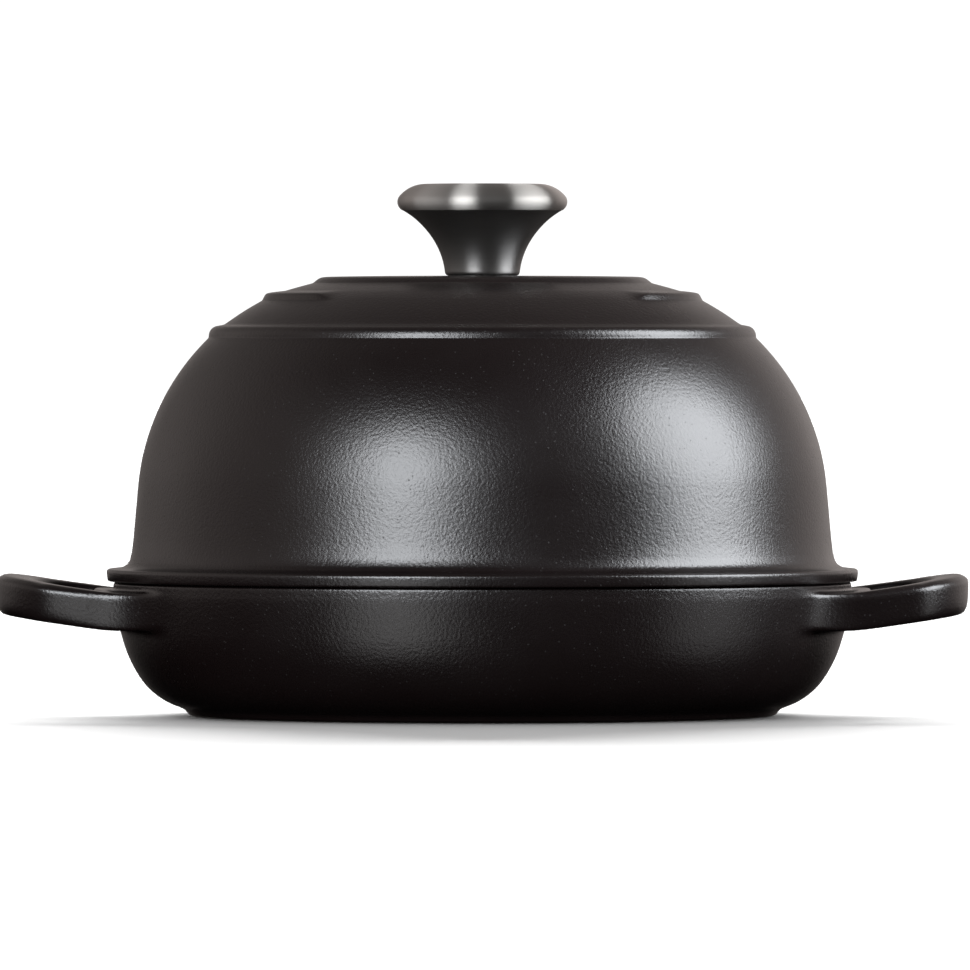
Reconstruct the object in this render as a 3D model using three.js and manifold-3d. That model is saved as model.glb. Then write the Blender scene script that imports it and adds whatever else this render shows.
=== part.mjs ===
// Bread pot: a shallow cast-iron base with two loop handles, a tall domed lid that seats on its rim,
// and a hollow steel knob held to the lid's crown by one screw.
// Millimetres, +Z up. The origin is the centre of the foot, on the table. The handles lie along X.

import * as THREE from "three";
import { mergeVertices } from "three/addons/utils/BufferGeometryUtils.js";
import Module from "manifold-3d";

// Fits
const SEAT_GAP = 0.3; // between pieces that rest on or fit into one another
const LIP_CLEARANCE = 1; // all round between the lid's lip and the inside of the base
const SCREW_CLEARANCE = 0.4; // all round between the screw and the holes that it passes through

// Base casting
const INNER_RADIUS = 120; // inside of the rim, which makes this a 24 cm pot
const BASE_HEIGHT = 46; // table to the top of the rim
const BASE_WALL = 4;
const BASE_FLOOR = 5.5; // table to the top of the floor
const RIM_BAND_HEIGHT = 8;
const RIM_BAND_STEP = 1.3; // the band round the rim stands out from the wall by this much
const RIM_ROUND = 2.2; // rounding of the rim's outer top edge
const BELLY_DROP = 7.5; // top of the rim to the belly's widest line, which the band hides
const BELLY_WIDTH = 28.6; // the belly's curve, across
const BELLY_CLEARANCE = 1.5; // table to the lowest point of the belly's curve
const FOOT_INSET = 23.2; // wall to the edge of the foot
const FOOT_DRAFT = 0.9;
const FOOT_RING_WIDTH = 20; // the flat ring that stands on the table
const FOOT_RECESS = 0.8; // hollow inside that ring
const RIDGE_PITCH = 20; // raised rings on the floor that keep the loaf's bottom off the iron
const RIDGE_WIDTH = 5;
const RIDGE_HEIGHT = 1.2;

// Loop handles, cast with the base
const HANDLE_REACH = 40; // from the rim to the tip
const HANDLE_WIDTH = 114; // across both arms
const HANDLE_THICKNESS = 12.9;
const HANDLE_ROUND = 3; // rounding of every edge
const HANDLE_TIP_BAR = 11.5; // width of the bar at the tip
const HANDLE_ARM = 13; // width of each arm
const HANDLE_WEB = 7.8; // from the rim to the finger hole
const HANDLE_TILT = 8; // degrees, up towards the tip
const HANDLE_DROP = 9.4; // top of the rim to the middle of the handle's root
const HANDLE_SQUARENESS = 2.7; // 2 is an ellipse in plan, and more is squarer

// Lid casting
const LID_WALL = 4;
const FLANGE_OVERHANG = 2.5; // beyond the base's rim
const FLANGE_THICKNESS = 4.5;
const FLANGE_ROUND = 1.8;
const FLANGE_FILLET = 4; // between the flange and the dome
const LIP_DEPTH = 5; // how far the lid's lip hangs into the base
const LIP_CHAMFER = 1;
const DOME_SETBACK = 5.9; // rim to the foot of the dome's wall
const DOME_DRAFT = 5; // degrees that the wall leans in
const DOME_WALL_HEIGHT = 27.2; // flange to the start of the shoulder
const SHOULDER_RADIUS = 80;
const SHOULDER_END = 45; // degrees round the shoulder's curve, where the lowest ring stands
const LOW_RING_WIDTH = 5.9;
const LOW_RING_RISE = 5.5;
const LOW_RING_LEAN = 1.2; // how far the ring's side leans in
const LOW_RING_FALL = 0.5; // how far its top falls to that side
const LOW_CONE_WIDTH = 10.9;
const LOW_CONE_RISE = 6.8;
const MIDDLE_RING_WIDTH = 9.4;
const MIDDLE_RING_RISE = 4.4;
const MIDDLE_RING_LEAN = 2.9;
const MIDDLE_RING_LAND = 2.8; // the flat part of its top
const MIDDLE_RING_FALL = 0.6;
const MIDDLE_RING_OPENING = 88; // degrees left out of the middle ring at the front
const HIGH_CONE_WIDTH = 9.6;
const HIGH_CONE_RISE = 2.8;
const CROWN_EDGE_WIDTH = 5.3;
const CROWN_EDGE_RISE = 2.3;
const CROWN_EDGE_LEAN = 1.8;
const CROWN_EDGE_FALL = 0.2;
const CROWN_RISE = 0.6; // the crown's gentle fall from the knob's seat to its edge
const KNOB_LAND_MARGIN = 3.5; // the flat round the knob's foot

// Knob
const KNOB_RADIUS = 28.8;
const KNOB_NECK_RADIUS = 12.4;
const KNOB_NECK_HEIGHT = 1;
const KNOB_SKIN = 1.8; // the steel that the stem and cap are drawn from
const FLARE_HEIGHT = 21.6; // foot to the seam under the rim
const FLARE_BEND_HEIGHT = 14.8; // height of the corner that the flare's curve rounds off
const FLARE_BEND_OUT = 2.4; // that corner's distance out from the neck
const RIM_BACK = 1.4; // the seam is this much further in than the widest part of the rim
const RIM_LIFT = 2.9; // seam to the widest part of the rim
const RIM_RISE = 5.9; // from there to the top of the rim's round
const RIM_DEPTH = 9.5; // how far in that round reaches
const CAP_CROWN = 0.6;
const BUSH_HEIGHT = 15;
const BUSH_CHAMFER = 1;

// Screw and washers
const SCREW_RADIUS = 3;
const SCREW_GRIP = 12; // thread inside the bush
const SCREW_TIP_CHAMFER = 0.8;
const SCREW_HEAD_RADIUS = 6;
const SCREW_HEAD_HEIGHT = 3.8;
const SCREW_HEAD_FLAT = 4.2; // radius of the flat on the head
const SCREW_DRIVE_LENGTH = 7;
const SCREW_DRIVE_WIDTH = 1.5;
const SCREW_DRIVE_DEPTH = 2;
const FLAT_WASHER_RADIUS = 9;
const FLAT_WASHER_THICKNESS = 1.2;
const SPRING_WASHER_RADIUS = 5.8;
const SPRING_WASHER_THICKNESS = 1.6;
const SPRING_WASHER_SPLIT = 1;
const SPRING_WASHER_SLANT = 30; // degrees

// Smoothness
const CASTING_SIDES = 64;
const KNOB_SIDES = 40;
const SMALL_SIDES = 24;

const wasm = await Module();
wasm.setup();
const radians = THREE.MathUtils.degToRad;

// A point of a profile: distance from the axis, then height.
function at(radius, height) {
  return new THREE.Vector2(radius, height);
}

// Points round an ellipse in the profile's plane. Angles are in degrees, up from the outward direction.
function arc(centre, across, up, from, to, steps) {
  const points = [];
  for (let i = 0; i <= steps; i += 1) {
    const angle = radians(from + ((to - from) * i) / steps);
    points.push(at(centre.x + across * Math.cos(angle), centre.y + up * Math.sin(angle)));
  }
  return points;
}

// A curve that leaves the first point towards the corner and arrives at the last one from it.
function softCorner(first, corner, last, steps) {
  return new THREE.QuadraticBezierCurve(first, corner, last).getPoints(steps);
}

// The line of points moved to its right by a distance, with its corners kept sharp.
function moved(points, distance) {
  return points.map((point, i) => {
    const before = points[Math.max(i - 1, 0)];
    const after = points[Math.min(i + 1, points.length - 1)];
    const into = i > 0 ? point.clone().sub(before).normalize() : after.clone().sub(point).normalize();
    const out = i < points.length - 1 ? after.clone().sub(point).normalize() : into;
    const across = at(into.y + out.y, -into.x - out.x).normalize();
    const share = across.x * into.y - across.y * into.x;
    return point.clone().addScaledVector(across, distance / share);
  });
}

// A profile turned round the Z axis.
function turned(profile, sides) {
  return new THREE.LatheGeometry(profile, sides).rotateX(Math.PI / 2);
}

// A ring profile closed on itself and turned round the Z axis.
function turnedRing(profile, sides) {
  return turned([...profile, profile[0].clone()], sides);
}

function solidOf(geometry) {
  const bare = geometry.clone();
  bare.deleteAttribute("normal");
  bare.deleteAttribute("uv");
  const merged = mergeVertices(bare, 1e-3);
  return new wasm.Manifold(
    new wasm.Mesh({
      numProp: 3,
      vertProperties: new Float32Array(merged.attributes.position.array),
      triVerts: new Uint32Array(merged.index.array),
    }),
  );
}

function geometryOf(solid) {
  const made = solid.getMesh();
  const geometry = new THREE.BufferGeometry();
  geometry.setAttribute("position", new THREE.BufferAttribute(new Float32Array(made.vertProperties), 3));
  geometry.setIndex(new THREE.BufferAttribute(new Uint32Array(made.triVerts), 1));
  geometry.computeVertexNormals();
  return geometry;
}

const enamel = { color: 0x17161a, roughness: 0.55, metalness: 0 };
const satinSteel = { color: 0xb9bbbd, roughness: 0.3, metalness: 1 };
const plainSteel = { color: 0x9c9fa3, roughness: 0.4, metalness: 1 };

function piece(name, geometry, finish) {
  const mesh = new THREE.Mesh(geometry, new THREE.MeshStandardMaterial(finish));
  mesh.name = name;
  return mesh;
}

// Sizes of the base that other pieces share
const wallRadius = INNER_RADIUS + BASE_WALL;
const rimRadius = wallRadius + RIM_BAND_STEP;
const wallTop = BASE_HEIGHT - RIM_BAND_HEIGHT - RIM_BAND_STEP;
const bellyCentre = at(wallRadius - BELLY_WIDTH, BASE_HEIGHT - BELLY_DROP);
const footRadius = wallRadius - FOOT_INSET;

// The hollow of the base from its rim down to the middle of its floor.
function basinLine() {
  const across = INNER_RADIUS - bellyCentre.x;
  const line = [at(INNER_RADIUS, BASE_HEIGHT)];
  line.push(...arc(at(bellyCentre.x, bellyCentre.y), across, bellyCentre.y - BASE_FLOOR, 0, -90, 8));
  const ridges = Math.floor((bellyCentre.x - RIDGE_WIDTH) / RIDGE_PITCH);
  for (let i = ridges; i >= 1; i -= 1) {
    const middle = i * RIDGE_PITCH;
    line.push(at(middle + RIDGE_WIDTH / 2, BASE_FLOOR));
    line.push(at(middle, BASE_FLOOR + RIDGE_HEIGHT));
    line.push(at(middle - RIDGE_WIDTH / 2, BASE_FLOOR));
  }
  line.push(at(0, BASE_FLOOR));
  return line;
}

function baseOutline() {
  const bellyHeight = bellyCentre.y - BELLY_CLEARANCE;
  const footShare = THREE.MathUtils.clamp((footRadius - bellyCentre.x) / BELLY_WIDTH, 0, 1);
  const bellyStart = -THREE.MathUtils.radToDeg(Math.acos(footShare));
  const hiddenShare = THREE.MathUtils.clamp((bellyCentre.y - wallTop) / bellyHeight, 0, 1);
  const bellyEnd = -THREE.MathUtils.radToDeg(Math.asin(hiddenShare));
  const belly = arc(bellyCentre, BELLY_WIDTH, bellyHeight, bellyStart, bellyEnd, 9);
  const ringInside = footRadius - FOOT_DRAFT - FOOT_RING_WIDTH;
  return [
    at(0, FOOT_RECESS),
    at(ringInside - FOOT_RECESS, FOOT_RECESS),
    at(ringInside, 0),
    at(footRadius - FOOT_DRAFT, 0),
    at(footRadius, belly[0].y),
    ...belly,
    at(rimRadius, wallTop + RIM_BAND_STEP),
    ...arc(at(rimRadius - RIM_ROUND, BASE_HEIGHT - RIM_ROUND), RIM_ROUND, RIM_ROUND, 0, 90, 3),
  ];
}

// Half of a rounded rectangle in plan, from one side of the handle round its tip to the other.
function loopCurve(reach, halfWidth, steps) {
  const power = 2 / HANDLE_SQUARENESS;
  const points = [];
  for (let i = 0; i <= steps; i += 1) {
    const angle = -Math.PI / 2 + (Math.PI * i) / steps;
    const out = Math.max(Math.cos(angle), 0) ** power;
    const side = Math.sign(Math.sin(angle)) * Math.abs(Math.sin(angle)) ** power;
    points.push(at(rimRadius + reach * out, halfWidth * side));
  }
  return points;
}

// One loop handle, reaching along +X, with its root running into the wall.
function handleGeometry() {
  const halfWidth = HANDLE_WIDTH / 2;
  const root = Math.sqrt(INNER_RADIUS ** 2 - halfWidth ** 2);
  const outline = loopCurve(HANDLE_REACH, halfWidth, 20);
  const shape = new THREE.Shape([at(root, -halfWidth), ...outline, at(root, halfWidth)]);
  const holeHalf = halfWidth - HANDLE_ARM;
  const holeBack = rimRadius + HANDLE_WEB;
  const backAngle = THREE.MathUtils.radToDeg(Math.asin(holeHalf / holeBack));
  const hole = loopCurve(HANDLE_REACH - HANDLE_TIP_BAR, holeHalf, 16);
  hole.push(...arc(at(0, 0), holeBack, holeBack, backAngle, -backAngle, 8));
  shape.holes.push(new THREE.Path(hole));
  const round = Math.min(HANDLE_ROUND, 0.45 * HANDLE_THICKNESS, 0.45 * HANDLE_TIP_BAR, 0.45 * HANDLE_ARM);
  const geometry = new THREE.ExtrudeGeometry(shape, {
    depth: HANDLE_THICKNESS - 2 * round,
    bevelThickness: round,
    bevelSize: round,
    bevelOffset: -round,
    bevelSegments: 2,
  });
  geometry.translate(-rimRadius, 0, round - HANDLE_THICKNESS / 2);
  geometry.rotateY(-radians(HANDLE_TILT));
  return geometry.translate(rimRadius, 0, BASE_HEIGHT - HANDLE_DROP);
}

function basePan() {
  const pan = solidOf(turned([...baseOutline(), ...basinLine()], CASTING_SIDES));
  const basin = solidOf(turned([...basinLine().reverse(), at(0, BASE_HEIGHT)], CASTING_SIDES));
  const right = solidOf(handleGeometry()).subtract(basin);
  const left = solidOf(handleGeometry().rotateZ(Math.PI)).subtract(basin);
  return piece("base_pan", geometryOf(pan.add(right).add(left)), enamel);
}

// Heights and corners of the lid that other pieces share
const flangeBottom = BASE_HEIGHT + SEAT_GAP;
const flangeTop = flangeBottom + FLANGE_THICKNESS;
const domeFoot = at(rimRadius - DOME_SETBACK, flangeTop);
const lean = Math.tan(radians(DOME_DRAFT));
const shoulderStart = at(domeFoot.x - DOME_WALL_HEIGHT * lean, flangeTop + DOME_WALL_HEIGHT);
const shoulderCentre = at(
  shoulderStart.x - SHOULDER_RADIUS * Math.cos(radians(DOME_DRAFT)),
  shoulderStart.y - SHOULDER_RADIUS * Math.sin(radians(DOME_DRAFT)),
);
const shoulder = arc(shoulderCentre, SHOULDER_RADIUS, SHOULDER_RADIUS, DOME_DRAFT, SHOULDER_END, 7);
const lowRingFoot = shoulder[shoulder.length - 1];
const lowRingTop = at(lowRingFoot.x - LOW_RING_WIDTH, lowRingFoot.y + LOW_RING_RISE);
const middleFoot = at(lowRingTop.x - LOW_CONE_WIDTH, lowRingTop.y + LOW_CONE_RISE);
const middleTop = at(middleFoot.x - MIDDLE_RING_WIDTH, middleFoot.y + MIDDLE_RING_RISE);
const crownFoot = at(middleTop.x - HIGH_CONE_WIDTH, middleTop.y + HIGH_CONE_RISE);
const crownEdge = at(crownFoot.x - CROWN_EDGE_WIDTH, crownFoot.y + CROWN_EDGE_RISE);
const crownTop = crownEdge.y + CROWN_RISE;
const crownUnderside = crownFoot.y - LID_WALL;
const holeRadius = SCREW_RADIUS + SCREW_CLEARANCE;

function lidOutside() {
  const flangeRadius = rimRadius + FLANGE_OVERHANG;
  const round = Math.min(FLANGE_ROUND, 0.45 * FLANGE_THICKNESS);
  const upperNose = at(flangeRadius - round, flangeTop - round);
  const lowerNose = at(flangeRadius - round, flangeBottom + round);
  const filletOut = at(domeFoot.x + FLANGE_FILLET, flangeTop);
  const filletUp = at(domeFoot.x - FLANGE_FILLET * lean, flangeTop + FLANGE_FILLET);
  const lowCorner = at(lowRingFoot.x - LOW_RING_LEAN, lowRingTop.y - LOW_RING_FALL);
  const crownCorner = at(crownFoot.x - CROWN_EDGE_LEAN, crownEdge.y - CROWN_EDGE_FALL);
  return [
    ...arc(lowerNose, round, round, -90, 0, 3),
    ...arc(upperNose, round, round, 0, 90, 3),
    ...softCorner(filletOut, domeFoot, filletUp, 4),
    ...shoulder,
    ...softCorner(lowRingFoot, lowCorner, lowRingTop, 4).slice(1),
    middleFoot,
    middleTop,
    ...softCorner(crownFoot, crownCorner, crownEdge, 4),
    at(KNOB_NECK_RADIUS + KNOB_LAND_MARGIN, crownTop),
    at(holeRadius, crownTop),
  ];
}

// The inside follows the dome and the crown at the thickness of the wall, without the rings.
function lidInside() {
  const skin = [domeFoot, ...shoulder, middleFoot, crownFoot, at(holeRadius, crownFoot.y)];
  const inside = moved(skin, -LID_WALL).reverse();
  const lipRadius = INNER_RADIUS - LIP_CLEARANCE;
  const lipBottom = flangeBottom - LIP_DEPTH;
  const lipInside = inside[inside.length - 1].x;
  const chamfer = Math.min(LIP_CHAMFER, (lipRadius - lipInside) / 3);
  return [
    ...inside,
    at(lipInside, lipBottom + chamfer),
    at(lipInside + chamfer, lipBottom),
    at(lipRadius - chamfer, lipBottom),
    at(lipRadius, lipBottom + chamfer),
    at(lipRadius, flangeBottom),
  ];
}

// The rib that stands on the cone between the two others, and stops short of the front.
function middleRing() {
  const corner = at(middleFoot.x - MIDDLE_RING_LEAN, middleTop.y - MIDDLE_RING_FALL);
  const top = softCorner(middleFoot, corner, at(middleTop.x + MIDDLE_RING_LAND, middleTop.y), 4);
  const bury = LID_WALL / 2;
  const ring = turnedRing(
    [...top, middleTop, at(middleTop.x, middleTop.y - bury), at(middleFoot.x - bury, middleFoot.y - bury)],
    CASTING_SIDES,
  );
  const half = radians(MIDDLE_RING_OPENING / 2);
  const reach = 2 * middleFoot.x;
  const front = new THREE.Shape([
    at(0, 0),
    at(-reach * Math.sin(half), -reach * Math.cos(half)),
    at(reach * Math.sin(half), -reach * Math.cos(half)),
  ]);
  const depth = 4 * MIDDLE_RING_RISE;
  const opening = new THREE.ExtrudeGeometry(front, { depth, bevelEnabled: false });
  opening.translate(0, 0, middleFoot.y - depth / 2);
  return solidOf(ring).subtract(solidOf(opening));
}

function domeLid() {
  const lid = solidOf(turnedRing([...lidOutside(), ...lidInside()], CASTING_SIDES));
  return piece("dome_lid", geometryOf(lid.add(middleRing())), enamel);
}

// Places of the knob that its pieces share
const knobFoot = crownTop + SEAT_GAP;
const seam = at(KNOB_RADIUS - RIM_BACK, knobFoot + FLARE_HEIGHT);
const neckBore = KNOB_NECK_RADIUS - KNOB_SKIN;

function knobStem() {
  const neckTop = at(KNOB_NECK_RADIUS, knobFoot + KNOB_NECK_HEIGHT);
  const bend = at(KNOB_NECK_RADIUS + FLARE_BEND_OUT, knobFoot + FLARE_BEND_HEIGHT);
  const outside = [at(KNOB_NECK_RADIUS, knobFoot), ...softCorner(neckTop, bend, seam, 10)];
  const inside = moved(outside, -KNOB_SKIN).reverse();
  const mouth = inside[0];
  const slope = inside[0].clone().sub(inside[1]);
  mouth.addScaledVector(slope, (seam.y - mouth.y) / slope.y);
  return piece("knob_stem", turnedRing([...outside, ...inside], KNOB_SIDES), satinSteel);
}

function knobCap() {
  const rimCentre = at(KNOB_RADIUS - RIM_DEPTH, seam.y + RIM_LIFT);
  const capTop = rimCentre.y + RIM_RISE + CAP_CROWN;
  const bottom = seam.y + SEAT_GAP;
  const widest = at(KNOB_RADIUS, rimCentre.y);
  const under = softCorner(at(seam.x, bottom), at(KNOB_RADIUS, bottom + RIM_LIFT / 3), widest, 3);
  const over = arc(rimCentre, RIM_DEPTH, RIM_RISE, 0, 90, 7);
  const outside = [...under, ...over.slice(1), at(0, capTop)];
  const inner = arc(rimCentre, RIM_DEPTH - KNOB_SKIN, RIM_RISE - KNOB_SKIN, 90, 0, 5);
  const inside = [at(0, capTop - KNOB_SKIN), ...inner, at(seam.x - KNOB_SKIN, bottom)];
  return piece("knob_cap", turned([...inside, ...outside], KNOB_SIDES), satinSteel);
}

function knobBush() {
  const outer = neckBore - SEAT_GAP;
  const bore = SCREW_RADIUS + SCREW_CLEARANCE;
  const top = knobFoot + BUSH_HEIGHT;
  const profile = [
    at(bore, knobFoot),
    at(outer, knobFoot),
    at(outer, top - BUSH_CHAMFER),
    at(outer - BUSH_CHAMFER, top),
    at(bore, top),
  ];
  return piece("knob_bush", turnedRing(profile, SMALL_SIDES), plainSteel);
}

// The stack under the crown, from the lid down
const flatWasherTop = crownUnderside - SEAT_GAP;
const springWasherTop = flatWasherTop - FLAT_WASHER_THICKNESS - SEAT_GAP;
const headTop = springWasherTop - SPRING_WASHER_THICKNESS - SEAT_GAP;

function washerGeometry(outer, top, thickness) {
  const bottom = top - thickness;
  const profile = [at(holeRadius, bottom), at(outer, bottom), at(outer, top), at(holeRadius, top)];
  return turnedRing(profile, SMALL_SIDES);
}

function flatWasher() {
  const geometry = washerGeometry(FLAT_WASHER_RADIUS, flatWasherTop, FLAT_WASHER_THICKNESS);
  return piece("flat_washer", geometry, plainSteel);
}

function springWasher() {
  const ring = solidOf(washerGeometry(SPRING_WASHER_RADIUS, springWasherTop, SPRING_WASHER_THICKNESS));
  const split = new THREE.BoxGeometry(2 * SPRING_WASHER_RADIUS, SPRING_WASHER_SPLIT, 4 * SPRING_WASHER_THICKNESS);
  split.rotateX(radians(SPRING_WASHER_SLANT));
  split.translate(SPRING_WASHER_RADIUS, 0, springWasherTop - SPRING_WASHER_THICKNESS / 2);
  return piece("spring_washer", geometryOf(ring.subtract(solidOf(split))), plainSteel);
}

function knobScrew() {
  const bottom = headTop - SCREW_HEAD_HEIGHT;
  const tip = knobFoot + SCREW_GRIP;
  const head = softCorner(
    at(SCREW_HEAD_FLAT, bottom),
    at(SCREW_HEAD_RADIUS, bottom),
    at(SCREW_HEAD_RADIUS, bottom + SCREW_HEAD_HEIGHT / 2),
    3,
  );
  const profile = [
    at(0, bottom),
    ...head,
    at(SCREW_HEAD_RADIUS, headTop),
    at(SCREW_RADIUS, headTop),
    at(SCREW_RADIUS, tip - SCREW_TIP_CHAMFER),
    at(SCREW_RADIUS - SCREW_TIP_CHAMFER, tip),
    at(0, tip),
  ];
  const along = new THREE.BoxGeometry(SCREW_DRIVE_LENGTH, SCREW_DRIVE_WIDTH, 2 * SCREW_DRIVE_DEPTH);
  along.translate(0, 0, bottom);
  const across = along.clone().rotateZ(Math.PI / 2);
  const drive = solidOf(along).add(solidOf(across));
  const screw = solidOf(turned(profile, SMALL_SIDES)).subtract(drive);
  return piece("knob_screw", geometryOf(screw), plainSteel);
}

const group = new THREE.Group();
group.add(basePan());
group.add(domeLid());
group.add(knobStem());
group.add(knobCap());
group.add(knobBush());
group.add(knobScrew());
group.add(springWasher());
group.add(flatWasher());

export default group;
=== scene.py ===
# %% [markdown]
# # A black enamelled bread pot
#
# The pot has two heavy castings and a knob. The base is a shallow round pan with a loop handle cast on
# either side. The lid is a tall dome that stands on the pan's rim and traps the loaf's steam. A hollow
# steel knob is screwed to the top of the lid. The solids of all eight pieces come in ready placed, in
# metres, with +Z up and the handles along X, so every new piece below is drawn straight where it
# belongs.

# %% Load the solids
import math

import bmesh
import bpy
from mathutils import Matrix, Vector


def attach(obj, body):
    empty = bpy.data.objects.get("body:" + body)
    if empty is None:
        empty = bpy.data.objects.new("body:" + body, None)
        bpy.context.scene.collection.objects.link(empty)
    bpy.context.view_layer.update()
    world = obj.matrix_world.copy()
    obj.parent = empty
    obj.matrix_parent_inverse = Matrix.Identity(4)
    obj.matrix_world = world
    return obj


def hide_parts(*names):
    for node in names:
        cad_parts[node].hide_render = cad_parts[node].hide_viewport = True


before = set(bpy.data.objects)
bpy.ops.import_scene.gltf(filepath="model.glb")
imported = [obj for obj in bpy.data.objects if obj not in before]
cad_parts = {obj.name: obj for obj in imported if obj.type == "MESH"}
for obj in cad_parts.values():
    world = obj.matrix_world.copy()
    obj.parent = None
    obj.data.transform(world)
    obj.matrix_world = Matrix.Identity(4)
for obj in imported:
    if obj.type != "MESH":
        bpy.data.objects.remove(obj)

scene = bpy.context.scene
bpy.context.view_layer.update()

# %% [markdown]
# ## The camera
#
# The picture was taken from far away with a long lens: the rims are almost straight lines, and only a
# sliver of each top surface shows. A camera close by with a wide lens would open those rims into
# ellipses, so this one stands five metres off, at about the height of the lid's shoulder, and looks
# slightly down.

# %% Place the camera
LENS = 546  # millimetres
SIDEWAYS = 0.0009  # the pot stands a hair left of the picture's middle
CAMERA_PLACE = Vector((SIDEWAYS, -5.0, 0.135))
AIM = Vector((SIDEWAYS, 0.0, 0.0784))

camera_data = bpy.data.cameras.new("camera")
camera_data.lens = LENS
camera_data.clip_end = 100
camera = bpy.data.objects.new("camera", camera_data)
camera.location = CAMERA_PLACE
camera.rotation_euler = (AIM - CAMERA_PLACE).to_track_quat("-Z", "Y").to_euler()
scene.collection.objects.link(camera)
scene.camera = camera
print("camera stands", round((AIM - CAMERA_PLACE).length, 3), "m from the middle of the pot")

# %% [markdown]
# ## The floor
#
# The pot stands on plain white. A flat disc is enough, as long as it runs on past the edge of every
# view. Real white card would be mirrored in the enamel and lift the dark belly to grey; photographers
# keep it away with black cards. Here the floor is simply left out of what glossy and matt surfaces see,
# and lets light through from below. It still catches the pot's shadow.

# %% Lay the floor
FLOOR_RADIUS = 20.0

floor_bm = bmesh.new()
bmesh.ops.create_circle(floor_bm, cap_ends=True, segments=96, radius=FLOOR_RADIUS)
floor_mesh = bpy.data.meshes.new("floor")
floor_bm.to_mesh(floor_mesh)
floor_bm.free()
floor = bpy.data.objects.new("floor", floor_mesh)
scene.collection.objects.link(floor)
floor.visible_glossy = False
floor.visible_diffuse = False
floor.visible_shadow = False
print("floor radius", FLOOR_RADIUS, "m")

# %% [markdown]
# The floor's paper is matt white. Seen from underneath it is see-through, so the foot of the pot can be
# looked at too.

# %% Paper for the floor
paper = bpy.data.materials.new("white_paper")
paper.use_nodes = True
nodes, links = paper.node_tree.nodes, paper.node_tree.links
nodes.clear()
out = nodes.new("ShaderNodeOutputMaterial")
matt = nodes.new("ShaderNodeBsdfDiffuse")
matt.inputs["Color"].default_value = (0.9, 0.9, 0.9, 1)
clear = nodes.new("ShaderNodeBsdfTransparent")
side = nodes.new("ShaderNodeNewGeometry")
either = nodes.new("ShaderNodeMixShader")
links.new(side.outputs["Backfacing"], either.inputs["Fac"])
links.new(matt.outputs["BSDF"], either.inputs[1])
links.new(clear.outputs["BSDF"], either.inputs[2])
links.new(either.outputs["Shader"], out.inputs["Surface"])
floor_mesh.materials.append(paper)
print("floor paper:", paper.name)

# %% [markdown]
# ## The light
#
# White shows in the picture behind the pot and under it, yet black enamel has to stay black, so one sky
# wouldn't do. The camera sees plain white, and the paper gets an even light from all round. Polished
# surfaces see a dim studio instead, lighter behind and beside the pot than in front, and that draws the
# pale line along both sides of the dome.

# %% Sky
BEHIND = 1.1  # strength of the white that the camera sees
PAPER_EVEN = 0.52
STUDIO_EVEN = 0.04
STUDIO_BACK = 0.19
STUDIO_LEFT = 0.32
STUDIO_RIGHT = 0.5
STUDIO_TINT = (1, 0.9, 0.86)
WHITE = (1, 1, 1)

sky = bpy.data.worlds.new("studio")
scene.world = sky
sky.use_nodes = True
nodes, links = sky.node_tree.nodes, sky.node_tree.links
nodes.clear()
direction = nodes.new("ShaderNodeTexCoord").outputs["Generated"]


def glow(towards, start, full, strength):
    """Light that grows smoothly, from a start to its full strength, as a direction nears a vector."""
    facing = nodes.new("ShaderNodeVectorMath")
    facing.operation = "DOT_PRODUCT"
    facing.inputs[1].default_value = Vector(towards).normalized()
    grow = nodes.new("ShaderNodeMapRange")
    grow.interpolation_type = "SMOOTHSTEP"
    for socket, value in (("From Min", start), ("From Max", full), ("To Min", 0), ("To Max", strength)):
        grow.inputs[socket].default_value = value
    links.new(direction, facing.inputs[0])
    links.new(facing.outputs["Value"], grow.inputs["Value"])
    return grow.outputs["Result"]


def joined(operation, first, second):
    """Adds or multiplies two lights. The second may be a plain number."""
    made = nodes.new("ShaderNodeMath")
    made.operation = operation
    links.new(first, made.inputs[0])
    if isinstance(second, float):
        made.inputs[1].default_value = second
    else:
        links.new(second, made.inputs[1])
    return made.outputs["Value"]


def backdrop(colour, strength):
    """A sky of one colour, whose strength is a number or a pattern."""
    made = nodes.new("ShaderNodeBackground")
    made.inputs["Color"].default_value = (*colour, 1)
    if isinstance(strength, float):
        made.inputs["Strength"].default_value = strength
    else:
        links.new(strength, made.inputs["Strength"])
    return made.outputs["Background"]


def choose(which, otherwise, chosen):
    """Shows one sky to one kind of ray, and the other to all the rest."""
    made = nodes.new("ShaderNodeMixShader")
    links.new(which, made.inputs["Fac"])
    links.new(otherwise, made.inputs[1])
    links.new(chosen, made.inputs[2])
    return made.outputs["Shader"]


ray = nodes.new("ShaderNodeLightPath").outputs
for_shine = joined("ADD", glow((0, 1, 0), -0.3, 0.6, STUDIO_BACK), STUDIO_EVEN)
for_shine = joined("ADD", for_shine, glow((-1, 0, -0.15), 0.3, 0.9, STUDIO_LEFT))
for_shine = joined("ADD", for_shine, glow((0.42, 0.89, -0.18), 0.62, 1.0, STUDIO_RIGHT))
for_shine = joined("MULTIPLY", for_shine, glow((0, 0, 1), -0.25, 0.1, 1.0))
for_paper = backdrop(WHITE, PAPER_EVEN)
seen = choose(ray["Is Diffuse Ray"], backdrop(STUDIO_TINT, for_shine), for_paper)
seen = choose(ray["Is Camera Ray"], seen, backdrop(WHITE, BEHIND))
links.new(seen, nodes.new("ShaderNodeOutputWorld").inputs["Surface"])
scene.view_settings.view_transform = "Standard"
print("sky:", len(nodes), "nodes")

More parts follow.
